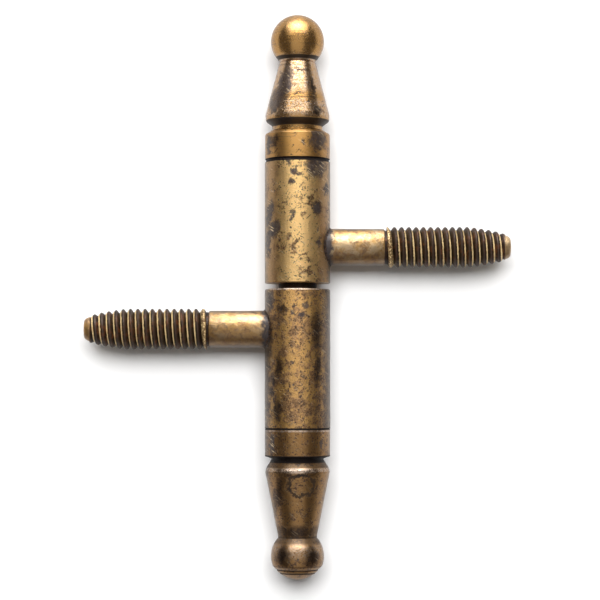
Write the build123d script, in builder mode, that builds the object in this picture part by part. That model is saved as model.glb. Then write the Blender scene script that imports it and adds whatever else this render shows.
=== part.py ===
from build123d import *
import os
from math import sqrt

# A screw-in barrel hinge, in millimetres. The pin stands along +Z, the leaf's stud points
# along +X and the frame's stud along -X. The origin is on the pin's axis, at mid-height.

# Barrels
barrel_diameter = 12.7
upper_barrel_length = 24.0
lower_barrel_length = 27.0
upper_top_chamfer_height = 0.7
upper_top_chamfer_depth = 0.3
lower_top_chamfer = 0.3

# Pin, and the bearing ring on it
pin_diameter = 5.5
pin_point_chamfer = 0.8
pin_end_clearance = 0.4
press_clearance = 0.01
running_clearance = 0.05
ring_diameter = 7.4
ring_height = 1.2

# What the two finials share
collar_diameter = 12.6
spigot_diameter = 8.0
spigot_length = 4.5
spigot_clearance = 0.05
spigot_end_clearance = 0.3

# Upper finial, with heights above its seat on the barrel
upper_collar_height = 4.95
upper_collar_bevel = 0.85
upper_groove_diameter = 9.76
upper_groove_end = 6.6
upper_flare_end = 7.55
upper_land_end = 8.75
upper_cone_diameter = 12.56
upper_shoulder_chamfer = 0.7
upper_neck_diameter = 7.0
upper_ball_diameter = 10.4
upper_ball_height = 23.2

# Lower finial, with heights measured down from its seat on the barrel
lower_collar_height = 5.35
lower_collar_bevel = 0.35
lower_groove_diameter = 10.14
lower_groove_end = 6.15
lower_flare_end = 7.8
lower_cone_diameter = 12.54
lower_shoulder_chamfer = 0.7
lower_neck_diameter = 7.4
lower_ball_diameter = 10.26
lower_ball_height = 24.7
end_bevel_start = 26.45
end_bevel_end = 28.55
end_groove_heights = (27.6, 28.35)
end_groove_depth = 0.2
end_crown_diameter = 6.8
end_crown_height = 1.1
end_face_diameter = 3.2

# Studs, with lengths from the pin's axis
upper_stud_above_ring = 7.0
lower_stud_below_ring = 7.7
thread_diameter = 7.94
shank_diameter = 7.16
shank_end = 16.5
runout_diameter = 6.5
runout_width = 0.45
point_start = 33.5
point_end = 40.2
point_end_diameter = 4.9
stud_end = 41.4
stud_end_diameter = 3.0
tenon_diameter = 4.8
tenon_end = 3.3
tenon_clearance = 0.05
cope_clearance = 0.02
braze_width = 0.65

# Heights worked out from the sizes above, so that the origin stays at mid-height
upper_finial_height = upper_ball_height + upper_ball_diameter / 2
lower_finial_height = end_bevel_end + end_crown_height
above_ring = upper_barrel_length + upper_finial_height
below_ring = lower_barrel_length + lower_finial_height
lower_barrel_top = (below_ring - above_ring - ring_height) / 2
lower_barrel_bottom = lower_barrel_top - lower_barrel_length
upper_barrel_bottom = lower_barrel_top + ring_height
upper_barrel_top = upper_barrel_bottom + upper_barrel_length
socket_depth = spigot_length + spigot_end_clearance
pin_top = upper_barrel_top - socket_depth - pin_end_clearance
pin_bottom = lower_barrel_bottom + socket_depth + pin_end_clearance

# Planes at the seats of the finials, facing out of the barrels
upper_seat = Plane(origin=(0, 0, upper_barrel_top), z_dir=(0, 0, 1))
lower_seat = Plane(origin=(0, 0, lower_barrel_bottom), z_dir=(0, 0, -1))

# Planes across the studs, facing away from the pin
leaf_side = Plane(origin=(0, 0, upper_barrel_bottom + upper_stud_above_ring), z_dir=(1, 0, 0))
frame_side = Plane(origin=(0, 0, lower_barrel_top - lower_stud_below_ring), z_dir=(-1, 0, 0))

# Upper barrel, which turns on the pin and lifts off it
with BuildPart() as upper_barrel:
    with BuildSketch(Plane.XY.offset(upper_barrel_bottom)):
        Circle(barrel_diameter / 2)
    extrude(amount=upper_barrel_length)
    rim = upper_barrel.edges().sort_by(Axis.Z)[-1]
    side = upper_barrel.faces().filter_by(GeomType.CYLINDER)[0]
    chamfer(rim, upper_top_chamfer_height, upper_top_chamfer_depth, reference=side)
    with Locations(upper_seat):
        CounterBoreHole(
            radius=pin_diameter / 2 + running_clearance,
            counter_bore_radius=spigot_diameter / 2 + spigot_clearance,
            counter_bore_depth=socket_depth,
        )
    with Locations(leaf_side.offset(barrel_diameter / 2)):
        Hole(radius=tenon_diameter / 2 + tenon_clearance, depth=barrel_diameter / 2 - tenon_end)
upper_barrel.part.label = "upper_barrel"

# Lower barrel, which holds the pin
with BuildPart() as lower_barrel:
    with BuildSketch(Plane.XY.offset(lower_barrel_bottom)):
        Circle(barrel_diameter / 2)
    extrude(amount=lower_barrel_length)
    chamfer(lower_barrel.edges().sort_by(Axis.Z)[-1], lower_top_chamfer)
    with Locations(lower_seat):
        CounterBoreHole(
            radius=pin_diameter / 2 + press_clearance,
            counter_bore_radius=spigot_diameter / 2 + spigot_clearance,
            counter_bore_depth=socket_depth,
        )
    with Locations(frame_side.offset(barrel_diameter / 2)):
        Hole(radius=tenon_diameter / 2 + tenon_clearance, depth=barrel_diameter / 2 - tenon_end)
lower_barrel.part.label = "lower_barrel"

# Pin, pressed into the lower barrel and bevelled at the top for the leaf to find
with BuildPart() as hinge_pin:
    with BuildSketch(Plane.XY.offset(pin_bottom)):
        Circle(pin_diameter / 2)
    extrude(amount=pin_top - pin_bottom)
    chamfer(hinge_pin.edges().sort_by(Axis.Z)[-1], pin_point_chamfer)
hinge_pin.part.label = "hinge_pin"

# Bearing ring, which carries the leaf's weight in the gap between the barrels
with BuildPart() as bearing_ring:
    with BuildSketch(Plane.XY.offset(lower_barrel_top)):
        Circle(ring_diameter / 2)
    extrude(amount=ring_height)
    Hole(radius=pin_diameter / 2 + running_clearance)
bearing_ring.part.label = "bearing_ring"


def build_stud(side):
    """A stud: tenon, coped shank with its braze, run-out groove, full thread and tapered point."""
    along = Plane(origin=side.origin, x_dir=side.z_dir, z_dir=Vector(0, 0, 1).cross(side.z_dir))
    across = Plane.XY.offset(side.origin.Z - barrel_diameter / 2)
    with BuildPart() as stud:
        with BuildSketch(across):
            Circle(barrel_diameter / 2)
        extrude(amount=barrel_diameter)
        with BuildSketch(along):
            with BuildLine():
                Polyline(
                    (0, 0),
                    (0, shank_diameter / 2),
                    (shank_end, shank_diameter / 2),
                    (shank_end, runout_diameter / 2),
                    (shank_end + runout_width, runout_diameter / 2),
                    (shank_end + runout_width, thread_diameter / 2),
                    (point_start, thread_diameter / 2),
                    (point_end, point_end_diameter / 2),
                    (stud_end, stud_end_diameter / 2),
                    (stud_end, 0),
                    close=True,
                )
            make_face()
        revolve(axis=Axis(side.origin, side.z_dir))
        chamfer(stud.edges().filter_by(GeomType.BSPLINE), braze_width)
        with BuildSketch(across):
            Circle(barrel_diameter / 2 + cope_clearance)
        extrude(amount=barrel_diameter, mode=Mode.SUBTRACT)
        with BuildSketch(side.offset(tenon_end)):
            Circle(tenon_diameter / 2)
        extrude(amount=barrel_diameter / 2)
    return stud


# Studs of the leaf and of the frame
upper_stud = build_stud(leaf_side)
upper_stud.part.label = "upper_stud"
lower_stud = build_stud(frame_side)
lower_stud.part.label = "lower_stud"


def corner(outline, x, y):
    """The outline's corner nearest to this point."""
    return outline.vertices().sort_by_distance((x, y))[0]


def spigot_and_collar(collar_height, bevel, groove_diameter, groove_end):
    """A finial's outline from the tip of its spigot, round the collar, to the end of the groove."""
    Polyline(
        (0, -spigot_length),
        (spigot_diameter / 2, -spigot_length),
        (spigot_diameter / 2, 0),
        (collar_diameter / 2, 0),
        (collar_diameter / 2, collar_height),
        (groove_diameter / 2, collar_height + bevel),
        (groove_diameter / 2, groove_end),
    )


# Upper finial: collar, groove, cone and ball
neck_radius, ball_radius = upper_neck_diameter / 2, upper_ball_diameter / 2
neck_height = upper_ball_height - sqrt(ball_radius**2 - neck_radius**2)
with BuildPart() as upper_finial:
    with BuildSketch(Plane(origin=upper_seat.origin, x_dir=(1, 0, 0), z_dir=(0, -1, 0))) as outline:
        with BuildLine():
            spigot_and_collar(
                upper_collar_height, upper_collar_bevel, upper_groove_diameter, upper_groove_end
            )
            Polyline(
                (upper_groove_diameter / 2, upper_groove_end),
                (upper_cone_diameter / 2, upper_flare_end),
                (upper_cone_diameter / 2, upper_land_end),
                (neck_radius, neck_height),
            )
            ThreePointArc(
                (neck_radius, neck_height), (ball_radius, upper_ball_height), (0, upper_finial_height)
            )
            Line((0, upper_finial_height), (0, -spigot_length))
        make_face()
        chamfer(corner(outline, upper_cone_diameter / 2, upper_land_end), upper_shoulder_chamfer)
    revolve(axis=Axis.Z)
upper_finial.part.label = "upper_finial"

# Lower finial: collar, groove, longer cone, and a ball with a bevelled and grooved end
neck_radius, ball_radius = lower_neck_diameter / 2, lower_ball_diameter / 2
neck_height = lower_ball_height - sqrt(ball_radius**2 - neck_radius**2)
bevel_radius = sqrt(ball_radius**2 - (end_bevel_start - lower_ball_height) ** 2)
bevel_slope = (end_crown_diameter / 2 - bevel_radius) / (end_bevel_end - end_bevel_start)
with BuildPart() as lower_finial:
    with BuildSketch(Plane(origin=lower_seat.origin, x_dir=(1, 0, 0), z_dir=(0, 1, 0))) as outline:
        with BuildLine():
            spigot_and_collar(
                lower_collar_height, lower_collar_bevel, lower_groove_diameter, lower_groove_end
            )
            Polyline(
                (lower_groove_diameter / 2, lower_groove_end),
                (lower_cone_diameter / 2, lower_flare_end),
                (neck_radius, neck_height),
            )
            ThreePointArc(
                (neck_radius, neck_height), (ball_radius, lower_ball_height), (bevel_radius, end_bevel_start)
            )
            Polyline(
                (bevel_radius, end_bevel_start),
                (end_crown_diameter / 2, end_bevel_end),
                (end_face_diameter / 2, lower_finial_height),
                (0, lower_finial_height),
                (0, -spigot_length),
            )
        make_face()
        chamfer(corner(outline, lower_cone_diameter / 2, lower_flare_end), lower_shoulder_chamfer)
        for groove_height in end_groove_heights:
            with Locations((bevel_radius + bevel_slope * (groove_height - end_bevel_start), groove_height)):
                RegularPolygon(end_groove_depth, 4, mode=Mode.SUBTRACT)
    revolve(axis=Axis.Z)
lower_finial.part.label = "lower_finial"

os.makedirs("parts", exist_ok=True)
for piece in (
    lower_barrel,
    lower_stud,
    lower_finial,
    hinge_pin,
    bearing_ring,
    upper_barrel,
    upper_stud,
    upper_finial,
):
    export_step(piece.part, f"parts/{piece.part.label}.step")
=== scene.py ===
# %% [markdown]
# # A barrel hinge in old brass
# This notebook dresses the imported model of a screw-in barrel hinge. The real one is turned from
# brass bar: two barrels share a pin, each has a threaded stud brazed into its side, and each is
# closed by a turned finial. The imported model gives every place and size, in metres, with the pin
# along Z. We first load it, and a small helper reads the box of each of its solids.

# %% Load the imported model
import bmesh
import bpy
from math import asin, cos, pi, radians, sin, sqrt
from mathutils import Matrix, Vector


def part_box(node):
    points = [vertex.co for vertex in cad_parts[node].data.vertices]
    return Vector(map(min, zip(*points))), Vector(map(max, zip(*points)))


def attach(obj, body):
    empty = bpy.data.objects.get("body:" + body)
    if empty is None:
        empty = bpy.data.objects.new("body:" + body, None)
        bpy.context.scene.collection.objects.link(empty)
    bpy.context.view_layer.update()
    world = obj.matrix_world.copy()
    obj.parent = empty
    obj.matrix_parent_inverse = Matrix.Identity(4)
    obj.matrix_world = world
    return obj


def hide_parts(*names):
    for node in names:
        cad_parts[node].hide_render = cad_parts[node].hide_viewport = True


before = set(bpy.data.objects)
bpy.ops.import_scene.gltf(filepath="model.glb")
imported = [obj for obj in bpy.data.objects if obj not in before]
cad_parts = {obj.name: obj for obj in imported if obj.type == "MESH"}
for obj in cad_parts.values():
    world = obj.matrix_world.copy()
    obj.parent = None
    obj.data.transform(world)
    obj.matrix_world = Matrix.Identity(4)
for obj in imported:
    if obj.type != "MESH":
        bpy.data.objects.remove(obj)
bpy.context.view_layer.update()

# %% [markdown]
# ## Measures
# A maker works in millimetres, so one factor turns them into metres. The heights of the barrels'
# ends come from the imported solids, and everything else is set from them. They could be typed in
# again, but then a change to the model would leave the pieces behind.

# %% Heights that every piece shares
MM = 0.001


def span(node):
    """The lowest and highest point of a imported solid, in millimetres."""
    low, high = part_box(node)
    return low.z / MM, high.z / MM


lower_foot, lower_top = span("lower_barrel")
upper_foot, upper_top = span("upper_barrel")
leaf_height = sum(span("upper_stud")) / 2
frame_height = sum(span("lower_stud")) / 2
barrel_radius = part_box("upper_barrel")[1].x / MM
print("barrels:", [round(v, 3) for v in (lower_foot, lower_top, upper_foot, upper_top)])
print("studs at", round(leaf_height, 3), "and", round(frame_height, 3))

# %% [markdown]
# ## Camera
# The photograph was taken from about forty centimetres with a long lens, looking along +Y and a
# little up the pin. A long lens keeps the barrels' ends almost straight, and the small tilt
# bends the seams into the shallow arcs that the photograph shows. In pixels of the picture the
# lens is 2050 long. A pixel covers 0.1942 mm at the hinge, so the camera stands 2050 times that
# far away. A shifted lens could give the same picture, but it would spoil the other views.

# %% Camera at the photograph's place
PICTURE = 600
PIXEL = 0.1942
FOCAL = 2050
SENSOR = 36
DISTANCE = FOCAL * PIXEL
TILT = radians(2.4)
AIM_RIGHT = 2.5 * PIXEL
AIM_HEIGHT = -0.52
aim = Vector((AIM_RIGHT, 0, AIM_HEIGHT)) * MM
camera_data = bpy.data.cameras.new("camera")
camera_data.sensor_width = SENSOR
camera_data.lens = SENSOR * FOCAL / PICTURE
camera_data.clip_start = 0.01
camera_data.clip_end = 10
camera = bpy.data.objects.new("camera", camera_data)
bpy.context.scene.collection.objects.link(camera)
camera.location = aim + Vector((0, -cos(TILT), -sin(TILT))) * DISTANCE * MM
camera.rotation_euler = (pi / 2 + TILT, 0, 0)
bpy.context.scene.camera = camera
print("camera at", [round(v, 4) for v in camera.location])

# %% [markdown]
# ## From a bmesh to a piece
# Every piece ends in the same way: doubles are merged, the faces are turned outwards, and the
# shading is smooth except where two faces meet sharply. An operator returns all that it made in
# one list, so two small helpers pick out the vertices or the edges.

# %% Finishing a mesh, and picking from what an operator made
WELD = 0.002


def points_in(geometry):
    """The vertices among what an operator made."""
    return [part for part in geometry if isinstance(part, bmesh.types.BMVert)]


def edges_in(geometry):
    """The edges among what an operator made."""
    return [part for part in geometry if isinstance(part, bmesh.types.BMEdge)]


def turn_about(bm, angle, axis):
    """Turns a whole bmesh about one of the scene's axes."""
    bmesh.ops.rotate(bm, verts=bm.verts, cent=(0, 0, 0), matrix=Matrix.Rotation(angle, 3, axis))


def finished(bm, name, sharp=32):
    """Turns a bmesh into an object with smooth shading, broken at edges past so many degrees."""
    bmesh.ops.remove_doubles(bm, verts=bm.verts, dist=WELD * MM)
    bmesh.ops.recalc_face_normals(bm, faces=bm.faces)
    mesh = bpy.data.meshes.new(name)
    bm.to_mesh(mesh)
    bm.free()
    mesh.shade_smooth()
    mesh.set_sharp_from_angle(angle=radians(sharp))
    piece = bpy.data.objects.new(name, mesh)
    bpy.context.scene.collection.objects.link(piece)
    print(name, "has", len(mesh.polygons), "faces")
    return piece


# %% [markdown]
# ## Turning
# Every barrel and finial came off a lathe, so each is made as a turner makes it. A small pen
# draws half a section in the XZ plane, its corners are eased with a vertex bevel, and a full
# spin about Z gives the solid. Cylinders and cones could be stacked instead, but they would have
# to be joined, and their corners would be knife edges that catch no light.

# %% A pen for half sections, and the spin
ARC_STEPS = 28
EASE_STEPS = 4
SPIN_STEPS = 160


class Section:
    """Half a section of a turned piece: radii and heights in mm from a seat, up or down."""

    def __init__(self, seat, way=1):
        self.bm = bmesh.new()
        self.seat = seat
        self.way = way
        self.tip = None
        self.eased = {}

    def to(self, radius, height, ease=0):
        """Draws a straight line to a point, whose corner may be eased."""
        point = self.bm.verts.new((radius * MM, 0, (self.seat + self.way * height) * MM))
        if self.tip:
            self.bm.edges.new((self.tip, point))
        self.tip = point
        if ease:
            self.eased.setdefault(ease, []).append(point)
        return self

    def round(self, centre, radius, start, end):
        """Draws an arc about a point of the axis, from one height to another."""
        first, last = (asin((height - centre) / radius) for height in (start, end))
        self.to(radius * cos(first), start)
        middle = Vector((0, 0, (self.seat + self.way * centre) * MM))
        turn = -self.way * (last - first)
        made = bmesh.ops.spin(self.bm, geom=[self.tip], cent=middle, axis=(0, 1, 0), angle=turn,
                              steps=ARC_STEPS, dvec=(0, 0, 0), use_duplicate=False)
        self.tip = points_in(made["geom_last"])[0]
        return self

    def spin(self, name, closed=False):
        """Eases the corners and spins the section into a solid."""
        if closed:
            self.bm.verts.ensure_lookup_table()
            self.bm.edges.new((self.tip, self.bm.verts[0]))
        for ease, corners in self.eased.items():
            bmesh.ops.bevel(self.bm, geom=corners, offset=ease * MM, offset_type="OFFSET",
                            affect="VERTICES", segments=EASE_STEPS, profile=0.5, material=-1)
        bmesh.ops.spin(self.bm, geom=self.bm.verts[:] + self.bm.edges[:], cent=(0, 0, 0),
                       axis=(0, 0, 1), angle=2 * pi, steps=SPIN_STEPS, dvec=(0, 0, 0),
                       use_merge=True, use_duplicate=False)
        return finished(self.bm, name)


# %% [markdown]
# ## Barrels
# Both barrels are the same bar, bored for the pin and opened out at the far end for a finial's
# spigot. The upper one has a wider chamfer below its finial, which is why that seam reads as a
# broad dark line and the lower one as a thin one. A boolean could cut the bores, but a closed
# section that has them already spins into a clean solid.

# %% Upper and lower barrel
CHAMFER_HEIGHT = 0.6
CHAMFER_DEPTH = 0.42
PIN = 2.75
RUNNING_BORE = PIN + 0.05
PRESS_BORE = PIN + 0.01
SPIGOT = 4.0
SPIGOT_LENGTH = 4.5
SOCKET = SPIGOT + 0.05
SOCKET_DEPTH = SPIGOT_LENGTH + 0.3
upper_length = upper_top - upper_foot
lower_length = lower_top - lower_foot
upper_barrel = (
    Section(upper_foot)
    .to(RUNNING_BORE, 0)
    .to(barrel_radius, 0, ease=0.16)
    .to(barrel_radius, upper_length - CHAMFER_HEIGHT, ease=0.1)
    .to(barrel_radius - CHAMFER_DEPTH, upper_length)
    .to(SOCKET, upper_length)
    .to(SOCKET, upper_length - SOCKET_DEPTH)
    .to(RUNNING_BORE, upper_length - SOCKET_DEPTH)
    .spin("upper_barrel", closed=True)
)
lower_barrel = (
    Section(lower_foot)
    .to(SOCKET, 0)
    .to(barrel_radius - 0.18, 0)
    .to(barrel_radius, 0.12, ease=0.05)
    .to(barrel_radius, lower_length, ease=0.32)
    .to(PRESS_BORE, lower_length)
    .to(PRESS_BORE, SOCKET_DEPTH)
    .to(SOCKET, SOCKET_DEPTH)
    .spin("lower_barrel", closed=True)
)

# %% [markdown]
# ## Finials
# A finial is one turning: a spigot that goes into the barrel, a collar as wide as the barrel, a
# narrow groove, a cone and a ball. A ready-made sphere on a cone would leave a seam at the neck,
# so the ball is an arc of the same section, about its own centre.

# %% Upper finial
COLLAR = 6.3
UPPER_BALL = 5.2
UPPER_BALL_HEIGHT = 23.2


def spigot(seat, way=1):
    """Begins a finial's section with the spigot that fills the barrel's socket."""
    return Section(seat, way).to(0, -SPIGOT_LENGTH).to(SPIGOT, -SPIGOT_LENGTH).to(SPIGOT, 0)


upper_finial = (
    spigot(upper_top)
    # Collar
    .to(6.18, 0)
    .to(COLLAR, 0.14, ease=0.06)
    .to(COLLAR, 4.95, ease=0.22)
    # Groove
    .to(4.9, 5.78, ease=0.1)
    .to(4.88, 6.62, ease=0.1)
    # Cone
    .to(6.12, 7.5, ease=0.3)
    .to(6.28, 8.5, ease=0.5)
    .to(3.56, 18.95, ease=0.1)
    # Ball
    .to(3.34, 19.2)
    .round(UPPER_BALL_HEIGHT, UPPER_BALL, 19.25, UPPER_BALL_HEIGHT + UPPER_BALL)
    .spin("upper_finial")
)

# %% [markdown]
# The lower finial hangs from its barrel, so its heights are measured downwards. Its ball was
# turned further: the end is bevelled, has two fine grooves and ends in a low dome. The grooves
# could be a bump in the finish, but they show in the outline, so they are part of the section.

# %% Lower finial
LOWER_BALL = 5.13
LOWER_BALL_HEIGHT = 24.5
lower_finial = (
    spigot(lower_foot, way=-1)
    # Collar
    .to(6.2, 0)
    .to(COLLAR, 0.12, ease=0.05)
    .to(COLLAR, 5.3, ease=0.1)
    # Groove
    .to(5.06, 5.68, ease=0.14)
    .to(5.1, 6.0, ease=0.2)
    # Cone
    .to(6.16, 7.72, ease=0.4)
    .to(6.24, 8.3, ease=0.3)
    .to(3.74, 20.7, ease=0.25)
    # Ball, as far as its bevel
    .round(LOWER_BALL_HEIGHT, LOWER_BALL, 21.0, 26.4)
    # Bevelled end with two grooves
    .to(4.2, 26.98)
    .to(3.94, 27.06)
    .to(3.98, 27.24, ease=0.06)
    .to(3.7, 27.62, ease=0.06)
    .to(3.44, 27.7)
    .to(3.4, 27.88, ease=0.05)
    # Dome
    .to(1.9, 28.74, ease=0.5)
    .to(0, 29.14)
    .spin("lower_finial")
)

# %% [markdown]
# ## Pin and bearing ring
# The pin is ground steel with a bevelled point, and it shows only when the leaf is lifted off.
# The ring is the dark collar in the gap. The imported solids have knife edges, so both are turned
# again here with a fine ease on each edge.

# %% Pin and ring
PIN_BEVEL = 0.8
RING = 3.7
pin_low, pin_high = span("hinge_pin")
ring_low, ring_high = span("bearing_ring")
pin_length = pin_high - pin_low
ring_height = ring_high - ring_low
hinge_pin = (
    Section(pin_low)
    .to(0, 0)
    .to(PIN, 0, ease=0.2)
    .to(PIN, pin_length - PIN_BEVEL, ease=0.2)
    .to(PIN - PIN_BEVEL, pin_length, ease=0.15)
    .to(0, pin_length)
    .spin("hinge_pin")
)
bearing_ring = (
    Section(ring_low)
    .to(RUNNING_BORE, 0)
    .to(RING, 0, ease=0.08)
    .to(RING, ring_height, ease=0.08)
    .to(RUNNING_BORE, ring_height)
    .spin("bearing_ring", closed=True)
)

# %% [markdown]
# ## Threaded studs
# The thread is a real helix, because plain rings wouldn't lean as the real crests do. One pitch
# of its section is drawn as a few points, then a spin with a step along the axis sweeps it into
# a screw: right-hand, because it turns by the right-hand rule about the way it travels.
# Each turn ends where the next begins, so one turn is copied along the stud, and merging doubles
# closes the screw. Every point also keeps how high on the thread it lies and which way its
# flank faces, and the finish reads both later.

# %% One pitch of the thread, swept along the stud
PITCH = 25.4 / 18
CREST = 3.97
ROOT = 3.2
THREAD_END = 40.3
PROFILE_STEPS = 14
SWEEP_STEPS = 72
THREAD_WELD = 0.001


def draw_pitch(bm, first):
    """Draws one pitch of the thread's section, with the height and slope of each point."""
    crest = bm.verts.layers.float.new("crest")
    flank = bm.verts.layers.float.new("flank")
    line = []
    for step in range(PROFILE_STEPS + 1):
        share = step / PROFILE_STEPS
        lift = max(0, sin(pi * share)) ** 1.25
        radius = ROOT + (CREST - ROOT) * lift
        point = bm.verts.new(((first + share * PITCH) * MM, 0, radius * MM))
        point[crest] = lift
        point[flank] = -sin(2 * pi * share)
        line.append(point)
    for a, b in zip(line, line[1:]):
        bm.edges.new((a, b))


def sweep(bm, first):
    """Sweeps the section once round the axis and copies that turn to the end of the thread."""
    bmesh.ops.spin(bm, geom=bm.verts[:] + bm.edges[:], cent=(0, 0, 0), axis=(1, 0, 0),
                   angle=2 * pi, steps=SWEEP_STEPS, dvec=(PITCH * MM / SWEEP_STEPS, 0, 0),
                   use_duplicate=False)
    turn = bm.verts[:] + bm.edges[:] + bm.faces[:]
    for further in range(1, int((THREAD_END - first) / PITCH) + 2):
        copy = bmesh.ops.duplicate(bm, geom=turn)["geom"]
        bmesh.ops.translate(bm, verts=points_in(copy), vec=(further * PITCH * MM, 0, 0))
    bmesh.ops.remove_doubles(bm, verts=bm.verts, dist=THREAD_WELD * MM)


# %% [markdown]
# A real screw is cut on a rod that is already pointed, so the sweep is cut square at both ends
# and pushed in towards the axis where the point tapers, its crests further than its roots. The
# open ends are then drawn out, ring by ring: one into the run-out groove and the shank, and the
# other into the blunt tip. A boolean with a rod could leave slivers where the helix meets it.

# %% Helpers for the ends of a stud
TAPER = ((33.2, 0.0), (34.4, 0.13), (35.8, 0.34), (37.1, 0.56), (38.6, 0.87), (40.5, 1.42))


def taper(x):
    """How far the thread's surface lies inside its full size at a place along the point."""
    for (a, low), (b, high) in zip(TAPER, TAPER[1:]):
        if x < b:
            return low + (high - low) * max(0, (x - a) / (b - a))
    return TAPER[-1][1]


def cut_square(bm, x, outwards):
    """Cuts the sweep across at x and returns the edges of the open end."""
    whole = bm.verts[:] + bm.edges[:] + bm.faces[:]
    made = bmesh.ops.bisect_plane(bm, geom=whole, dist=1e-9, plane_co=(x * MM, 0, 0),
                                  plane_no=(outwards, 0, 0), clear_outer=True, clear_inner=False)
    return edges_in(made["geom_cut"])


def draw_out(bm, rim, x, radius):
    """Extrudes an open end to a new ring about the axis, or at no radius to a point on it."""
    made = bmesh.ops.extrude_edge_only(bm, edges=rim)["geom"]
    for point in points_in(made):
        across = Vector((0, point.co.y, point.co.z)).normalized() * radius * MM
        point.co = Vector((x * MM, 0, 0)) + across
        for layer in bm.verts.layers.float.values():
            point[layer] = 0
    return edges_in(made)


def stand(bm, way, height):
    """Turns what was made along +X to its side of the hinge and lifts it to its height."""
    turn_about(bm, way, "Z")
    bmesh.ops.translate(bm, verts=bm.verts, vec=(0, 0, height * MM))


# %% [markdown]
# The two studs are the same, apart from where the shank ends and how the thread happens to
# start, so one function makes both. The shank goes on into the barrel's wall and is drawn
# together to a point there, where nothing shows, so that the skin is closed.

# %% Upper and lower stud
SHANK = 3.58
SHANK_START = 5.2
SHANK_MIDDLE = 11
GROOVE = 0.47
UPPER_SHANK_END = 16.87
LOWER_SHANK_END = 17.15
TIP = ((THREAD_END + 0.03, 2.36), (40.6, 2.28), (41.0, 2.08), (41.28, 1.82), (41.38, 1.5),
       (41.4, 0.9), (41.4, 0))


def stud(name, height, way, phase, shank_end):
    """A whole stud: point, thread, run-out groove and shank, in one closed skin."""
    bm = bmesh.new()
    start = shank_end + GROOVE
    first = start - 1.5 * PITCH
    draw_pitch(bm, first)
    sweep(bm, first)
    turn_about(bm, phase, "X")
    near = cut_square(bm, start, -1)
    far = cut_square(bm, THREAD_END, 1)
    crest = bm.verts.layers.float["crest"]
    for point in bm.verts:
        across = Vector((0, point.co.y, point.co.z))
        inwards = taper(point.co.x / MM) * (0.7 + 0.3 * point[crest])
        point.co -= across.normalized() * inwards * MM
    for x, radius in ((start, 3.3), (shank_end + 0.06, 3.26), (shank_end - 0.03, 3.48),
                      (shank_end - 0.16, SHANK), (SHANK_MIDDLE, SHANK), (SHANK_START, SHANK),
                      (SHANK_START, 0)):
        near = draw_out(bm, near, x, radius)
    for x, radius in TIP:
        far = draw_out(bm, far, x, radius)
    stand(bm, way, height)
    return finished(bm, name, sharp=50)


upper_stud = stud("upper_stud", leaf_height, 0, radians(-10), UPPER_SHANK_END)
lower_stud = stud("lower_stud", frame_height, pi, radians(186), LOWER_SHANK_END)

# %% [markdown]
# ## Braze
# Where a shank meets its barrel, brass has run into the corner and left a small hollow fillet. A
# bevel on a joined mesh could make it, but here the shank and the barrel are separate pieces.
# So its skin is a ring drawn out in steps from the shank to the barrel: each step is dropped
# onto the surface it lies on, because the two cylinders meet in a saddle and not in a circle. A
# last step goes down into the metal, and a bridge from there to the first ring closes the skin.

# %% Fillet between shank and barrel
BEAD = 0.42
BEAD_AROUND = 120
BEAD_OVERLAP = 0.02
BEAD_ROOT = 0.3
BEAD_STEPS = 7


def braze(name, height, way, seed):
    """A concave fillet on the saddle between a shank and its barrel."""
    bm = bmesh.new()
    bmesh.ops.create_circle(bm, segments=BEAD_AROUND, radius=SHANK * MM, cap_ends=False)
    turn_about(bm, pi / 2, "Y")
    first = ring = bm.edges[:]
    for step in range(BEAD_STEPS + 2):
        slope = pi / 2 * step / BEAD_STEPS
        if step:
            ring = edges_in(bmesh.ops.extrude_edge_only(bm, edges=ring)["geom"])
        for point in {v for e in ring for v in e.verts}:
            turn = Vector((0, point.co.y, point.co.z)).normalized()
            grain = sin(seed + 5 * turn.y + 9 * turn.z) + 0.6 * sin(2.3 * seed + 17 * turn.z)
            bead = BEAD * (1 + 0.1 * grain)
            out = SHANK - BEAD_OVERLAP + bead * (1 - cos(slope))
            along = bead * (1 - sin(slope)) - BEAD_OVERLAP
            if step > BEAD_STEPS:
                out, along = SHANK - BEAD_ROOT, -BEAD_ROOT
            inside = sqrt(barrel_radius**2 - (turn.y * out) ** 2)
            point.co = Vector((inside + along, turn.y * out, turn.z * out)) * MM
    bmesh.ops.bridge_loops(bm, edges=first + ring)
    stand(bm, way, height)
    return finished(bm, name)


upper_braze = braze("upper_braze", leaf_height, 0, 1.0)
lower_braze = braze("lower_braze", frame_height, pi, 4.0)

# %% [markdown]
# ## Shader maths
# The finishes are built from nodes, and sums of nodes read best as sums. One small class wraps a
# socket, so that + - * and abs() add Math nodes, and | adds one that keeps the greater value.

# %% A socket that can be reckoned with
class Socket:
    """An output of a shader node."""

    def __init__(self, finish, output):
        self.finish = finish
        self.output = output

    def math(self, operation, *values):
        """Adds a Math node for an operation on these values."""
        return self.finish.node("Math", {"operation": operation}, *values)

    def __add__(self, other):
        return self.math("ADD", self, other)

    def __sub__(self, other):
        return self.math("SUBTRACT", self, other)

    def __rsub__(self, other):
        return self.math("SUBTRACT", other, self)

    def __mul__(self, other):
        return self.math("MULTIPLY", self, other)

    def __or__(self, other):
        return self.math("MAXIMUM", self, other)

    def __abs__(self):
        return self.math("ABSOLUTE", self)

    __radd__ = __add__
    __rmul__ = __mul__


# %% [markdown]
# One method adds any other node: its settings first, then the values or links of its sockets.
# The rest are the words that the recipes are written in. A mark is a soft ellipsoid: its middle
# lies inside the metal behind the front surface, so it shows on the front and not on the back.
# Painting on an image would need the pieces unwrapped, and marks made from a place need nothing.

# %% A finish to build in
FRONT = -4.8
MARK_DEPTH = 4.2


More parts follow.
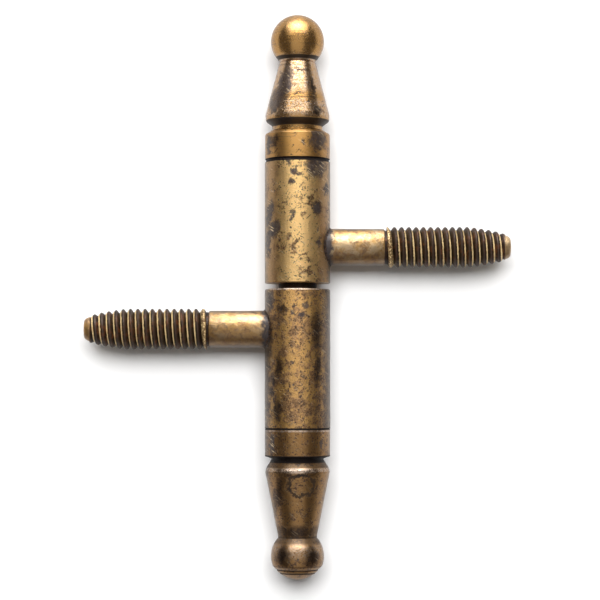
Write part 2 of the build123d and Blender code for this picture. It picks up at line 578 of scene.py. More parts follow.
class Finish:
    """A material under construction: its nodes, and the object's place in millimetres."""

    def __init__(self, name):
        self.material = bpy.data.materials.new(name)
        self.material.use_nodes = True
        self.tree = self.material.node_tree
        self.shader = self.tree.nodes["Principled BSDF"]
        raw = self.node("TexCoord", {}, pick="Object")
        self.place = self.node("Mapping", {"vector_type": "POINT"}, raw, 0, 0, 1 / MM)

    def node(self, kind, settings, *values, pick=None, **named):
        """Adds a node: settings first, then its open sockets in order, or by name."""
        made = self.tree.nodes.new("ShaderNode" + kind)
        for key, value in settings.items():
            setattr(made, key, value)
        pairs = list(zip((s for s in made.inputs if s.enabled), values))
        pairs += [(made.inputs[key], value) for key, value in named.items()]
        for socket, value in pairs:
            if isinstance(value, Socket):
                self.tree.links.new(value.output, socket)
                continue
            if socket.type == "VECTOR" and not hasattr(value, "__len__"):
                value = (value,) * 3
            if socket.type == "RGBA" and len(value) == 3:
                value = (*value, 1)
            socket.default_value = value
        output = made.outputs[pick] if pick else next(s for s in made.outputs if s.enabled)
        return Socket(self, output)

    def axis(self, place, letter):
        """One coordinate of a place, in millimetres."""
        return self.node("SeparateXYZ", {}, place, pick=letter)

    def fade(self, value, low, high):
        """A mask that rises smoothly from 0 at low to 1 at high."""
        return self.node("MapRange", {"interpolation_type": "SMOOTHSTEP"}, value, low, high, 0, 1)

    def blend(self, amount, under, over):
        """Lays one colour over another by an amount."""
        return self.node("Mix", {"data_type": "RGBA"}, amount, under, over)

    def noise(self, place, scale, detail, rough, warp=0):
        """Fractal noise, with so many features to the millimetre."""
        return self.node("TexNoise", {}, Vector=place, Scale=scale, Detail=detail,
                         Roughness=rough, Distortion=warp)

    def stretched(self, scale, lean=0):
        """The object's place, leant by degrees and then stretched, for marks that run one way."""
        shrink = tuple(1 / side for side in scale)
        return self.node("Mapping", {"vector_type": "TEXTURE"}, self.place, 0,
                         (0, radians(lean), 0), shrink)

    def band(self, height, centre, half, soft):
        """A mask for a ring round the metal: its height and half width in mm."""
        return 1 - self.fade(abs(height - centre), half, half + soft)

    def away(self, place, x, z, wide, high, lean=0, depth=FRONT):
        """How far a place is from the middle of a mark, which ends at 1: half sizes in mm."""
        local = self.node("Mapping", {"vector_type": "TEXTURE"}, place, (x, depth, z),
                          (0, radians(lean), 0), (wide, MARK_DEPTH, high))
        return self.node("VectorMath", {"operation": "LENGTH"}, local, pick="Value")

    def spot(self, place, *mark, edge=0.35, depth=FRONT):
        """A soft-edged blot on the front of the metal."""
        return 1 - self.fade(self.away(place, *mark, depth=depth), 1 - edge, 1 + edge)

    def halo(self, place, *mark):
        """A thin ring on the front of the metal, as a drop leaves when it dries."""
        return self.band(self.away(place, *mark), centre=1, half=0.08, soft=0.18)

    def done(self, colour, rough, metal, bump, height=0.05, film=0.5):
        """Joins the finished masks to the shader. The bump's height is in mm."""
        relief = self.node("Bump", {}, Strength=1.0, Distance=height * MM, Height=bump)
        self.shader.inputs["Coat Roughness"].default_value = 0.3
        for name, value in (("Base Color", colour), ("Roughness", rough), ("Metallic", metal),
                            ("Coat Weight", film), ("Normal", relief)):
            if isinstance(value, Socket):
                self.tree.links.new(value.output, self.shader.inputs[name])
            else:
                self.shader.inputs[name].default_value = value
        print("finish", self.material.name, "has", len(self.tree.nodes), "nodes")
        return self.material


# %% [markdown]
# ## Old brass
# The metal is worn bright where hands and doors rubbed it, brown where it oxidised, and grey
# violet where the plating was or where grease lay. Painted light is laid with it: highlights where
# the metal caught the window, and shade on its sides and in its seams, grooves and necks. A single
# brown with one noise would look like wood, so the finish is laid in layers: tarnish, wear with
# painted highlights and shade, smears and painted shade, stains, pits, scratches, and last dirt
# with painted shade. All layers share a few noises, from coarse patches to grit. One is drawn
# out round the metal, as a lathe leaves its grooves, and one shifts the place itself, which
# makes the edges of the marks ragged. In every recipe f is the finish under construction.

# %% Colours, and what the layers of old brass share
PALE = (0.92, 0.7, 0.42)
CREAM = (0.78, 0.62, 0.5)
GOLD = (0.66, 0.385, 0.13)
TAN = (0.46, 0.26, 0.11)
BROWN = (0.165, 0.085, 0.036)
UMBER = (0.045, 0.021, 0.01)
VIOLET = (0.072, 0.056, 0.054)
SOOT = (0.012, 0.008, 0.007)


class OldBrass(Finish):
    """Brass under construction: the noises that its layers share, and the colour so far."""

    def __init__(self, name, clean):
        super().__init__(name)
        self.colour = clean
        self.coarse = self.noise(self.place, 0.2, 4, 0.6, 0.6)
        self.medium = self.noise(self.place, 0.8, 5, 0.62, 0.4)
        self.fine = self.noise(self.place, 2.9, 4, 0.6, 0.3)
        self.grit = self.noise(self.place, 6.0, 2, 0.5)
        shift = self.node("TexNoise", {}, Vector=self.place, Scale=0.9, Detail=5, Roughness=0.7,
                          pick="Color")
        shift = self.node("VectorMath", {"operation": "MULTIPLY_ADD"}, shift, 3, -1.5)
        self.ragged = self.node("VectorMath", {"operation": "ADD"}, self.place, shift)
        self.turned = self.noise(self.stretched((0.12, 0.12, 4.5)), 1.0, 4, 0.65)
        self.across = self.axis(self.ragged, "X")
        self.height = self.axis(self.place, "Z") + 0.12 * (self.medium - 0.5)
        self.empty = 0 * self.fine

    def lay(self, amount, over):
        """Lays a colour over what is there."""
        self.colour = self.blend(amount, self.colour, over)


# %% [markdown]
# ### Tarnish, wear and painted light
# Tarnish comes first: tan patches, a brown film and dark specks, each a fade of mixed noises
# whose limits move with its amount, so that more of it spreads and doesn't only darken. Wear and
# painted light go over it. Outside a bright front the sides are painted tan: painted shade, where
# the metal mirrors a dark room, beside a painted highlight down the front. The pale glints are
# painted highlights that follow the lathe's grooves where a piece has them, and the pale bands
# and spots are painted highlights, a few of them also polish.

# %% Tarnish, then wear and painted light
def lay_tarnish(f, tan, tarnish):
    """Lays tan patches, a brown film and dark specks, and returns the film and the specks."""
    tanned = f.fade(f.medium * 0.5 + f.coarse * 0.5, 0.64 - 0.28 * tan, 0.7 - 0.28 * tan)
    f.lay(tanned, TAN)
    dulled = f.fade(f.coarse * 0.3 + f.fine * 0.35 + f.medium * 0.35, 0.6 - 0.18 * tarnish,
                    0.66 - 0.16 * tarnish)
    f.lay(dulled * 0.7, BROWN)
    speck = f.fade(f.fine * 0.65 + f.medium * 0.35, 0.6 - 0.08 * tarnish, 0.64 - 0.08 * tarnish)
    f.lay(speck * 0.85, UMBER)
    return dulled, speck


def lay_wear(f, bright_front_half, rings, glints, pale, painted_highlights):
    """Lays tan sides as painted shade, pale glints as painted highlights, and pale bands and spots
    that are painted highlights, a few of them also polish.
    """
    f.lay(f.fade(abs(f.across), bright_front_half, bright_front_half + 1.0) * 0.75, TAN)
    mixed = (f.grit * 0.6 + f.fine * 0.4) * (1 - rings) + f.turned * rings
    f.lay(f.fade(mixed, 0.55, 0.63) * glints, PALE)
    for centre, half, soft, amount in pale:
        wear_and_sheen = f.band(f.height, centre, half, soft) * f.fade(f.fine, 0.36, 0.56) * amount
        f.lay(wear_and_sheen, CREAM)
    for *mark, amount in painted_highlights:
        f.lay(f.spot(f.place, *mark, edge=0.6) * amount, CREAM)


# %% [markdown]
# ### Smears, painted shade and stains
# The umber smears are thin, and the brass shows through them. Many of them are painted shade: on
# the sides of the lower ball and of the barrels, beside the lower stud's root, below the lower
# shoulder, by the lower neck and at the edges of the upper cone's highlight. The grey violet is
# thick: it runs down both sides of a barrel, darkest at the edges, lies in single stains, is
# mottled with umber, and is bare again where the grit was rubbed. A mask times what it leaves
# free is greatest halfway up its edge, so that product gives each stain a dark rim, as a liquid
# leaves when it dries.

# %% Smears, painted shade and stains
def lay_stains(f, smears_and_shade, edges, marks):
    """Lays thin umber patches, many of them painted shade, then violet sides and stains, and
    returns the violet.
    """
    smear_and_shade = f.empty
    for mark in smears_and_shade:
        smear_and_shade = smear_and_shade | f.spot(f.ragged, *mark, edge=0.6)
    f.lay(smear_and_shade * (0.4 + f.fine), UMBER)
    left, right = edges
    stain = (f.fade(0 - f.across, left - 0.5, left + 1.2)
             | f.fade(f.across, right - 0.5, right + 1.2)) * (0.5 + 0.6 * f.fine)
    for mark in marks:
        blot = f.spot(f.ragged, *mark, edge=0.28, depth=FRONT + 0.4)
        stain = stain | blot * (0.65 + 0.6 * f.medium)
    mottled = f.blend(f.fade(f.fine * 0.5 + f.medium * 0.5, 0.46, 0.58) * 0.75, VIOLET, UMBER)
    bare = f.fade(f.fine * 0.6 + f.grit * 0.4, 0.54, 0.64)
    stain = stain * (1 - 0.75 * bare)
    f.lay(stain, mottled)
    f.lay(stain * (1 - stain) * 1.4, UMBER)
    return stain


# %% [markdown]
# ### Pits, scratches, dirt and painted shade
# Pits are the cores of a cell pattern's cells, in two sizes, and a noise keeps them in swarms.
# Scratches are noise stretched into long streaks: bright ones lean one way and dark old scores
# the other. Dirt and painted shade come last, because they lie on everything: dirt in the lathe's
# grooves and in the rings that dried drops left, and painted shade in the seams, grooves and
# necks, with some grime on the lower flare and at the upper seam. Dirt comes last, because it lies
# on everything: in the lathe's grooves, in the rings
# that dried drops left, and in the corners where a cloth doesn't reach.

# %% Pits, scratches, dirt and painted shade
def holes(f, scale, edge):
    """Small round holes, with so many cells to the millimetre."""
    cell = f.node("TexVoronoi", {}, Vector=f.place, Scale=scale, Randomness=1.0)
    return 1 - f.fade(cell, 0.12, edge)


def lay_pits(f, pits, blots):
    """Lays black pits of two sizes and single blots, and returns them."""
    pit = holes(f, 1.15, 0.25) * f.fade(f.medium, 0.62 - 0.25 * pits, 0.64 - 0.25 * pits)
    small = holes(f, 2.2, 0.24)
    pit = pit | small * f.fade(f.coarse * 0.4 + f.medium * 0.6, 0.64 - 0.25 * pits,
                               0.68 - 0.25 * pits)
    for mark in blots:
        pit = pit | f.spot(f.place, *mark)
    f.lay(0.85 * pit, SOOT)
    return pit


def lay_scratches(f, scratched, stain):
    """Lays bright scratches and dark scores, and returns both."""
    scratch = f.fade(f.noise(f.stretched((0.35, 0.35, 4.0), 38), 1.0, 2, 0.5), 0.62, 0.68)
    scratch = scratch * f.fade(f.medium, 0.42, 0.52)
    scored = f.fade(f.noise(f.stretched((0.5, 0.5, 4.0), -48), 1.0, 1, 0.5), 0.68, 0.73)
    scored = scored * f.fade(f.coarse, 0.4, 0.5)
    f.lay(scratch * (scratched + 0.4 * stain), PALE)
    f.lay(scored * 0.8, UMBER)
    return scratch, scored


def lay_dirt_and_shade(f, rings, halos, grime_and_shade):
    """Lays umber in the lathe's grooves, then dried drops and dark bands of painted shade, some of
    them also soiling, and returns those two.
    """
    f.lay(f.fade(f.turned, 0.58, 0.68) * rings, UMBER)
    dirt_and_shade = f.empty
    for mark in halos:
        dirt_and_shade = dirt_and_shade | f.halo(f.ragged, *mark) * 0.9
    for centre, half, soft, amount in grime_and_shade:
        dirt_and_shade = dirt_and_shade | f.band(f.height, centre, half, soft) * amount
    f.lay(dirt_and_shade, SOOT)
    return dirt_and_shade


# %% [markdown]
# ### The whole recipe
# Each brass differs only in how much it has of every layer and in its single marks, so one
# function takes those. marks, smears and painted shade, and blots are given as x, z, half width,
# half height and lean, halos without the lean, and painted highlights with an amount in its place.
# pale bands, grime and painted shade, and matt are rings round the metal: height, half width,
# softness and amount. The same masks then drive the roughness, the metal and the bump, so that a
# stain is also duller and a pit deeper. Because a lathe leaves its grooves round the metal, the
# gloss is drawn out along the pin.

# %% Old brass from its layers
def old_brass(name, clean, tan, tarnish, pits, marks=(), smears_and_shade=(), blots=(), pale=(), painted_highlights=(),
              halos=(), grime_and_shade=(), matt=(), edges=(9, 9), rings=0.1, rough=0.46, drawn=0.95,
              film=0.9, dents=0.16, glints=0.3, bright_front_half=9, scratched=0.25):
    """Worn brass with painted light and shade: how much is tan, tarnished and pitted (0 to 1), and
    its single marks.
    """
    f = OldBrass(name, clean)
    dulled, speck = lay_tarnish(f, tan, tarnish)
    lay_wear(f, bright_front_half, rings, glints, pale, painted_highlights)
    stain = lay_stains(f, smears_and_shade, edges, marks)
    pit = lay_pits(f, pits, blots)
    scratch, scored = lay_scratches(f, scratched, stain)
    dirt_and_shade = lay_dirt_and_shade(f, rings, halos, grime_and_shade)

    roughness = rough + 0.14 * (f.fine - 0.5) + 0.08 * dulled + 0.1 * stain + 0.2 * dirt_and_shade
    for centre, half, soft, amount in matt:
        roughness = roughness + f.band(f.height, centre, half, soft) * amount
    metal = 1 - 0.35 * stain - 0.5 * pit - 0.5 * dirt_and_shade - 0.1 * speck
    relief = (f.coarse + 0.55 * f.medium + 0.4 * f.fine + 0.12 * f.grit + rings * f.turned
              - 0.35 * pit - 0.06 * stain - 0.05 * speck - 0.1 * scratch - 0.15 * scored)
    f.shader.inputs["Anisotropic"].default_value = drawn
    f.shader.inputs["Anisotropic Rotation"].default_value = 0.25
    return f.done(f.colour, roughness, metal, relief, height=dents, film=film * (1 - dirt_and_shade))


# %% [markdown]
# ### The upper barrel
# This barrel is the brightest piece: yellow brass down its front, with a chain of violet stains
# and both edges dark. The large stains are set one by one where the photograph has them, and the
# noise fills in the small ones, whose places don't matter.

# %% Finish of the upper barrel
# Its yellow is lighter than the lower barrel's, partly as painted light. Down its front it carries
# a painted highlight and on its sides painted tan shade, and the dark ring at its top chamfer is
# painted shade with some grime.
upper_barrel_brass = old_brass(
    "worn_brass_upper", clean=(0.92, 0.61, 0.25), tan=0.34, tarnish=0.45, pits=0.42,
    edges=(6.1, 6.0), bright_front_half=3.4, scratched=0.55,
    marks=((-1.6, 26.0, 0.45, 1.2, 0), (-0.6, 24.2, 0.5, 1.0, 20), (-1.1, 22.1, 0.5, 0.7, 0),
           (0.4, 23.4, 0.9, 0.4, 15), (3.5, 24.7, 1.9, 1.9, 0), (5.6, 20.8, 0.5, 1.2, 0),
           (-0.95, 15.3, 0.5, 1.2, 8), (-4.4, 12.9, 1.1, 1.9, 25), (-5.5, 15.8, 0.8, 2.6, 10),
           (-5.7, 10.2, 0.6, 2.6, 0), (3.5, 16.8, 0.7, 1.2, -15), (4.1, 10.5, 0.5, 0.9, 0)),
    smears_and_shade=((6.0, 10.5, 0.6, 4.0, 0), (2.4, 18.9, 0.6, 0.7, 0), (3.9, 17.0, 0.9, 1.3, 0)),
    blots=((3.9, 12.7, 0.2, 0.45, 5), (-1.3, 13.1, 0.22, 0.2, 0), (-1.25, 11.5, 0.15, 0.15, 0),
           (-0.55, 12.5, 0.13, 0.13, 0), (-0.4, 17.9, 0.1, 0.1, 0), (1.35, 19.3, 0.15, 0.2, 30),
           (-0.4, 3.8, 0.3, 0.15, 10), (0.5, 3.7, 0.25, 0.15, -20)),
    grime_and_shade=((26.45, 0.3, 0.07, 1.0),))

# %% [markdown]
# ### The upper finial
# The crown is handled most, so it is the smoothest: low roughness and shallow dents, with the
# lathe's rings still in it. Pale bands on its cone and at its neck are painted highlights, a few
# thin patches at the edges of the cone's highlight are painted shade, and painted shade darkens
# the groove, the neck and the seam. The collar is matt.

# %% Finish of the upper finial
upper_finial_brass = old_brass(
    "worn_brass_crown", clean=(0.6, 0.325, 0.095), tan=0.3, tarnish=0.15, pits=0.35, rings=0.6,
    glints=0.18, rough=0.26, drawn=0.85, dents=0.05, film=0.7,
    pale=((43.2, 2.5, 2.0, 0.6), (36.4, 1.0, 1.2, 0.55), (46.1, 0.12, 0.1, 0.6)),
    matt=((29.2, 2.9, 0.3, 0.2), (41.0, 4.5, 0.8, -0.07)),
    marks=((-2.5, 41.3, 1.3, 3.6, 12), (-4.2, 38.2, 1.7, 2.3, 20), (-4.6, 36.4, 0.6, 1.2, 20),
           (1.15, 29.6, 0.55, 0.5, 0), (-2.6, 34.0, 1.6, 0.6, 0),
           (3.9, 30.2, 1.6, 1.9, 0), (-5.6, 29.5, 0.6, 1.8, 0)),
    smears_and_shade=((2.9, 40.5, 0.35, 2.4, -12), (0.6, 43.9, 1.6, 0.22, 4), (0.2, 39.1, 1.2, 0.16, -5),
            (-4.4, 30.0, 0.8, 1.2, 0), (3.9, 35.9, 1.0, 0.7, 0)),
    blots=((-2.3, 32.0, 0.2, 0.17, 0), (-1.05, 32.0, 0.22, 0.15, 0), (1.45, 32.5, 0.15, 0.13, 0),
           (-0.8, 29.0, 0.17, 0.17, 0), (3.6, 36.3, 0.6, 0.5, 0), (-4.3, 35.8, 0.4, 0.5, 0),
           (-2.4, 37.9, 0.3, 0.2, 0), (2.2, 37.5, 0.3, 0.2, 0)),
    grime_and_shade=((33.8, 0.55, 0.25, 0.95), (46.55, 0.25, 0.2, 0.95), (26.75, 0.1, 0.05, 1.0)))

# %% [markdown]
# ### The lower barrel
# The lower half is duller, partly as painted shade, and far more pitted. Dark patches down both
# sides are painted shade, darkest beside the stud's root, a thin bright line along its upper edge
# is a painted highlight, and the dark line at its seam is painted shade.

# %% Finish of the lower barrel
lower_barrel_brass = old_brass(
    "dull_brass_lower", clean=(0.6, 0.345, 0.11), tan=0.6, tarnish=0.64, pits=1.0,
    edges=(5.3, 4.9), glints=0.35, rough=0.44, drawn=0.9,
    marks=((-0.4, -1.8, 0.4, 0.4, 0), (1.65, -1.9, 0.8, 0.6, 0), (0.85, -3.4, 0.6, 0.55, 0),
           (-0.6, -3.1, 0.4, 0.55, 0), (-1.1, -12.9, 0.35, 0.35, 0), (-5.4, -0.6, 0.9, 1.9, 0)),
    smears_and_shade=((-3.6, -13.5, 0.7, 2.0, 0), (3.7, -6.5, 1.0, 3.5, 0), (3.9, -14.0, 0.6, 3.0, 0),
            (-3.9, -22.0, 0.8, 2.2, 0), (-4.6, -16.0, 0.5, 1.1, 0), (-5.0, -18.4, 0.5, 0.8, 0),
            (-5.8, -8.2, 0.9, 4.4, 0), (-3.1, -2.4, 0.7, 0.5, 0)),
    pale=((1.4, 0.14, 0.08, 1.0),),
    grime_and_shade=((-25.42, 0.14, 0.05, 1.0),))

# %% [markdown]
# ### The lower finial and the ring
# The foot is brown and half glossy. A drop has dried on its cone and left a dark ring. A bright
# strip on its shoulder, a thin line under its seam, and a band and a small spot on its ball are
# painted highlights, with painted shade just below the strip. Painted shade also darkens the left
# of the cone, the sides of the ball, the groove, the neck and the two fine grooves of the end, and
# grime dulls the flare below the groove. The bearing ring is painted all but black: painted shade
# in the gap between the barrels.

# %% Finish of the lower finial and of the bearing ring
lower_finial_brass = old_brass(
    "dull_brass_foot", clean=(0.38, 0.205, 0.07), tan=0.45, tarnish=0.65, pits=0.45, rings=0.4,
    edges=(5.4, 9), rough=0.34, drawn=0.7, dents=0.08, film=0.6,
    marks=((-4.9, -28.2, 0.6, 2.2, 0), (4.6, -28.4, 0.5, 0.9, 0)),
    pale=((-25.85, 0.12, 0.1, 0.75), (-33.3, 0.2, 0.25, 0.6), (-48.9, 0.4, 1.6, 0.35)),
    painted_highlights=((0.1, -33.45, 3.1, 0.45, 0.85), (0.1, -48.2, 1.4, 1.0, 0.15)),
    matt=((-33.3, 0.45, 0.2, -0.1), (-48.4, 2.0, 1.5, -0.05)),
    halos=((0.7, -36.1, 2.45, 2.05),),
    smears_and_shade=((0.0, -34.1, 3.0, 0.35, 0), (-4.0, -39.0, 0.9, 4.0, 12), (0.0, -45.3, 3.5, 1.2, 0),
            (3.1, -50.0, 1.2, 1.6, 0), (-3.2, -49.8, 1.3, 1.9, 0)),
    blots=((1.0, -26.2, 0.17, 0.17, 0), (2.0, -27.7, 0.2, 0.17, 0), (0.9, -28.3, 0.17, 0.17, 0),
           (-1.9, -29.0, 0.2, 0.15, 0), (-0.9, -29.9, 0.17, 0.17, 0)),
    grime_and_shade=((-25.5, 0.14, 0.05, 1.0), (-31.3, 0.6, 0.3, 1.0), (-32.2, 0.6, 0.3, 0.65),
           (-46.3, 0.15, 0.15, 0.8), (-45.2, 0.7, 0.9, 0.5), (-46.8, 0.4, 0.7, 0.65),
           (-51.9, 0.05, 0.05, 0.6), (-52.6, 0.1, 0.06, 0.9), (-53.25, 0.1, 0.06, 0.9)))
# The ring is painted all but black: painted shade in the gap between the barrels.
ring_brass = old_brass("black_brass_ring", clean=UMBER, tan=0.2, tarnish=1.0, pits=0.5,
                       grime_and_shade=((2.1, 2.0, 0.2, 0.8),), film=0.2)

# %% [markdown]
# ## The studs' finish
# A stud is two finishes in one skin. The thread's valleys are black or rusty with old dirt. The
# flank that faces the point is painted bright: a painted reflection of the white surface beyond
# it. The side of each crest that faces the shank is painted grey, a dim painted reflection, and
# the first turn is rubbed bright. The flanks are found by the two values that the thread's points
# carry, because a pattern in space would slide off a helix.

# %% Thread
VALLEY = (0.022, 0.011, 0.006)
RUST = (0.12, 0.04, 0.014)
ASH = (0.11, 0.075, 0.058)
BRIGHT = (1.0, 0.74, 0.36)


class StudBrass(Finish):
    """A stud's brass under construction: its noises, and places along it and above its middle."""

    def __init__(self, name, height):
        super().__init__(name)
        self.coarse = self.noise(self.place, 0.35, 4, 0.6, 0.5)
        self.medium = self.noise(self.place, 0.9, 4, 0.6, 0.5)
        self.fine = self.noise(self.place, 3.2, 4, 0.6)
        self.along = abs(self.axis(self.place, "X"))
        self.above = self.axis(self.place, "Z") - height


def thread_colours(f, shank_end):
    """The thread's colour, and masks for its bright flanks and its first turn."""
    crest, flank = (f.node("Attribute", {"attribute_name": name}, pick="Fac")
                    for name in ("crest", "flank"))
    wobble = 0.5 * (f.fine - 0.5) + 0.3 * (f.medium - 0.5)
    # The flank that faces the point is painted bright: a painted reflection of the white surface
    # beyond it.
    wear_and_sheen = f.fade(flank, 0.3, 0.6) * f.fade(crest + wobble, 0.12, 0.28)
    wear_and_sheen = wear_and_sheen * (1 - f.fade(crest + wobble, 0.62, 0.8))
    first = 1 - f.fade(f.along, shank_end + 1.5, shank_end + 1.7)
    wear_and_sheen = wear_and_sheen | first * f.fade(crest + 2 * wobble, 0.55, 0.8)
    rust = f.fade(f.medium * 0.6 + f.coarse * 0.4, 0.5, 0.6)
    valley = f.blend(rust * 0.8, VALLEY, RUST)
    # The side of each crest that faces the shank is painted grey: a dim painted reflection.
    grey = (1 - f.fade(flank, -0.6, 0.0)) * f.fade(crest, 0.6, 0.9)
    valley = f.blend(grey * 0.6, valley, ASH)
    bright = f.blend(f.fade(f.coarse * 0.5 + f.fine * 0.5, 0.48, 0.62) * 0.5, BRIGHT, TAN)
    bright = f.blend(first * f.fade(f.fine, 0.4, 0.55), bright, BROWN)
    return f.blend(wear_and_sheen, valley, bright), wear_and_sheen, first


# %% [markdown]
# The shank is golden above and brown below, where the brown is painted shade on its underside,
# and dark with braze at its root. How far along the stud a place lies says whether it has the
# shank's finish or the thread's. Two materials on one mesh could say it too, but one mask keeps
# the skin in one piece.

# %% Shank, and the whole stud
def shank_colours(f, fresh):
    """The shank's colour, and a mask for its dark root."""
    root = 1 - f.fade(f.along + 3 * (f.medium - 0.5), 6.3, 7.5)
    shank = f.blend(f.fade(f.medium, 0.42, 0.6), GOLD, TAN)
    shank = f.blend(f.fade(f.fine * 0.4 + f.medium * 0.6, 0.5, 0.62) * 0.6, shank, BROWN)
    shank = f.blend(f.fade(f.fine * 0.3 + f.coarse * 0.7, 0.45, 0.58) * fresh, shank, PALE)
    # The underside is laid brown: painted shade.
    underside_shade = 1 - f.fade(f.above + 1.5 * (f.medium - 0.5), -2.4, 0.4)
    shank = f.blend(underside_shade * 0.6, shank, BROWN)
    rim = f.fade(abs(f.above), 2.8, 3.5)
    return f.blend((rim * 0.7) | root, shank, f.blend(f.fine, SOOT, VIOLET)), root


def stud_brass(name, height, shank_end, fresh):
    """A golden shank, so much of it pale and fresh, and a dark thread with bright far flanks."""
    f = StudBrass(name, height)
    thread = f.fade(f.along, shank_end - 0.1, shank_end + 0.05)
    thread = thread * (1 - f.fade(f.along, THREAD_END - 0.3, THREAD_END + 0.1))
    threaded, wear_and_sheen, first = thread_colours(f, shank_end)
    shank, root = shank_colours(f, fresh)
    colour = f.blend(thread, shank, threaded)
    rough = 0.46 + 0.14 * (f.fine - 0.5) + 0.12 * root - 0.08 * thread
    metal = 1 - thread * (0.5 + 0.45 * wear_and_sheen * (1 - first)) - 0.6 * root
    relief = f.coarse + 0.6 * f.medium + 0.45 * f.fine
    film = 0.9 * (1 - thread) * (1 - 0.6 * root)
    return f.done(colour, rough, metal, relief, height=0.16, film=film)


upper_stud_brass = stud_brass("cut_brass_leaf_stud", leaf_height, UPPER_SHANK_END, fresh=0.7)
lower_stud_brass = stud_brass("cut_brass_frame_stud", frame_height, LOWER_SHANK_END, fresh=0.35)

# %% [markdown]
# ## Braze and steel
# The braze cooled dark and was never cleaned, so it is soot and violet with a few brown flecks.
# The pin was ground round and has lain in oil: grey steel, with fine rings across it and a brown
# film in patches. Both are small or hidden, so each is a short recipe of its own.

# %% Braze and pin
STEEL = (0.42, 0.42, 0.43)
OLD_OIL = (0.16, 0.13, 0.1)


def braze_metal(name):
    """Dark cooled braze with a few brown flecks."""
    f = Finish(name)
    fine = f.noise(f.place, 4.0, 4, 0.6)
    medium = f.noise(f.place, 1.3, 4, 0.6, 0.5)
    colour = f.blend(f.fade(medium, 0.45, 0.6) * 0.8, SOOT, VIOLET)
    colour = f.blend(f.fade(fine, 0.5, 0.6) * 0.7, colour, BROWN)
    return f.done(colour, 0.5 + 0.2 * fine, 0.7, medium + 0.4 * fine, height=0.15, film=0.15)


def ground_steel(name):
    """The pin: ground steel with a film of old oil."""
    f = Finish(name)
    turned = f.noise(f.stretched((0.1, 0.1, 6.0)), 1.0, 3, 0.6)
    film = f.fade(f.noise(f.place, 0.5, 4, 0.6, 0.4), 0.5, 0.7)
    colour = f.blend(film, STEEL, OLD_OIL)
    return f.done(colour, 0.24 + 0.15 * film + 0.1 * turned, 1 - 0.3 * film, 0.3 * turned)


braze_finish = braze_metal("dark_braze")
pin_finish = ground_steel("ground_steel_pin")

# %% [markdown]
# ## Fitting the pieces
# Each piece rides on the body that carries it and stands for its imported solid, which is hidden.
# Its row of the table also names the slot of the record that its finish belongs to. The braze
# belongs to the stud's solid, because on the real hinge it has become one with the stud.

# %% Bodies, solids, slots and finishes
fitting = (
    (upper_barrel, "upper_knuckle", "upper_barrel", "upper_brass", upper_barrel_brass),
    (upper_finial, "upper_knuckle", "upper_finial", "upper_brass", upper_finial_brass),
    (upper_stud, "upper_knuckle", "upper_stud", "stud_brass", upper_stud_brass),
    (upper_braze, "upper_knuckle", "upper_stud", "stud_brass", braze_finish),
    (bearing_ring, "ring", "bearing_ring", "ring_brass", ring_brass),
    (hinge_pin, "lower_knuckle", "hinge_pin", "pin_steel", pin_finish),
    (lower_barrel, "lower_knuckle", "lower_barrel", "lower_brass", lower_barrel_brass),
    (lower_finial, "lower_knuckle", "lower_finial", "lower_brass", lower_finial_brass),
    (lower_stud, "lower_knuckle", "lower_stud", "stud_brass", lower_stud_brass),
    (lower_braze, "lower_knuckle", "lower_stud", "stud_brass", braze_finish),
)
for piece, body, node, slot, finish in fitting:
    piece.data.materials.append(finish)
    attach(piece, body)
    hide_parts(node)
print(len(fitting), "pieces fitted")

# %% [markdown]
# ## White surface
# The hinge was photographed lying on a white surface, which stands here just behind it. Seen
# from its back the surface lets the view through, so the hinge can be looked at from all sides.
# Polished metal mirrors what lies around it, and pure white there would wash the brass out. So
# the surface is greyer to a reflected ray than to the camera, which a light path node can tell.

# %% White surface behind the hinge
TABLE_HALF = 0.6
TABLE_GAP = 0.1
PAPER = (0.92, 0.92, 0.92, 1)
PAPER_IN_METAL = (0.5, 0.49, 0.48, 1)
MIX_FACTOR, MIX_USUAL, MIX_OTHER, MIX_COLOUR = 0, 6, 7, 2


def by_ray(tree, ray, usual, other):
    """A colour that differs for one kind of ray. The usual one may be a socket."""
    path = tree.nodes.new("ShaderNodeLightPath")
    either = tree.nodes.new("ShaderNodeMix")
    either.data_type = "RGBA"
    tree.links.new(path.outputs[ray], either.inputs[MIX_FACTOR])
    either.inputs[MIX_OTHER].default_value = other
    if isinstance(usual, tuple):
        either.inputs[MIX_USUAL].default_value = usual
    else:
        tree.links.new(usual, either.inputs[MIX_USUAL])
    return either.outputs[MIX_COLOUR]


bm = bmesh.new()
bmesh.ops.create_grid(bm, x_segments=1, y_segments=1, size=TABLE_HALF)
turn_about(bm, pi / 2, "X")
bmesh.ops.translate(bm, verts=bm.verts, vec=(0, (barrel_radius + TABLE_GAP) * MM, 0))
table_mesh = bpy.data.meshes.new("table")
bm.to_mesh(table_mesh)
bm.free()
table = bpy.data.objects.new("table", table_mesh)
bpy.context.scene.collection.objects.link(table)
paper = bpy.data.materials.new("white_table")
paper.use_nodes = True
nodes, links = paper.node_tree.nodes, paper.node_tree.links
nodes.clear()
facing = nodes.new("ShaderNodeNewGeometry")
chalk = nodes.new("ShaderNodeBsdfDiffuse")
shade = by_ray(paper.node_tree, "Is Glossy Ray", PAPER, PAPER_IN_METAL)
links.new(shade, chalk.inputs["Color"])
clear = nodes.new("ShaderNodeBsdfTransparent")
either = nodes.new("ShaderNodeMixShader")
surface = nodes.new("ShaderNodeOutputMaterial")
links.new(facing.outputs["Backfacing"], either.inputs["Fac"])
links.new(chalk.outputs["BSDF"], either.inputs[1])
links.new(clear.outputs["BSDF"], either.inputs[2])
links.new(either.outputs["Shader"], surface.inputs["Surface"])
table_mesh.materials.append(paper)
print("table faces", [round(v, 3) for v in table_mesh.polygons[0].normal])

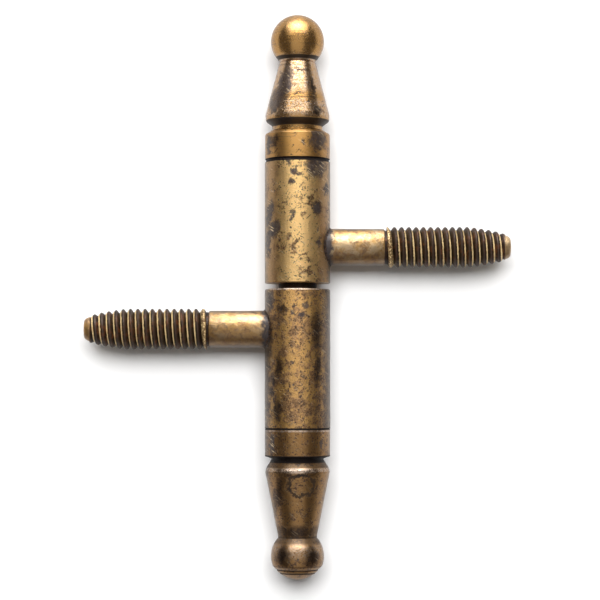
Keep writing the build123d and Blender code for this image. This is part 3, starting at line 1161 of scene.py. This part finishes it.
# %% [markdown]
# ## Lights
# The photograph's light is one large soft window beyond the top of the picture, bright in its
# middle, and a weak one in front. Metal shows lights only as reflections, and a matt surface
# shows only how much light falls on it, so the two are lit apart. The first three lights are
# seen in gloss alone. The last two fall on what is matt: the white surface and the dirt on the
# brass. One set of lights would be simpler, but then the surface couldn't be made brighter
# without changing every reflection. A light's watts are worked out from its area, so that a
# larger light is no paler in the metal.

# %% Lights and surroundings
WATTS_PER_AREA = 4
ROOM = (0.17, 0.165, 0.16, 1)
ROOM_IN_METAL = (0.11, 0.1, 0.09, 1)
BACKDROP = (0.9, 0.9, 0.9, 1)


def window(name, rise, distance, size, strength, glossy=True):
    """A soft light at so many degrees above the camera's line, with its size in millimetres."""
    data = bpy.data.lights.new(name, "AREA")
    data.shape = "RECTANGLE"
    data.size, data.size_y = (v * MM for v in size)
    data.energy = WATTS_PER_AREA * strength * data.size * data.size_y
    lamp = bpy.data.objects.new(name, data)
    toward = Vector((0, -cos(radians(rise)), sin(radians(rise))))
    lamp.location = toward * distance * MM
    lamp.rotation_euler = (radians(90 - rise), 0, 0)
    lamp.visible_glossy = glossy
    lamp.visible_diffuse = not glossy
    lamp.visible_camera = False
    bpy.context.scene.collection.objects.link(lamp)


window("key_core", rise=65, distance=1000, size=(620, 330), strength=6.0)
window("key_surround", rise=68, distance=1020, size=(1350, 1060), strength=2.4)
window("front_fill", rise=-18, distance=1000, size=(1060, 1600), strength=0.38)
window("table_light", rise=18.5, distance=1000, size=(900, 460), strength=6.9, glossy=False)
window("table_light_high", rise=42, distance=1000, size=(1000, 380), strength=3.2, glossy=False)
world = bpy.data.worlds.new("room")
world.use_nodes = True
bpy.context.scene.world = world
sky = by_ray(world.node_tree, "Is Glossy Ray", ROOM, ROOM_IN_METAL)
sky = by_ray(world.node_tree, "Is Camera Ray", sky, BACKDROP)
world.node_tree.links.new(sky, world.node_tree.nodes["Background"].inputs["Color"])
bpy.context.scene.view_settings.view_transform = "Standard"

# %% Update the scene
bpy.context.view_layer.update()
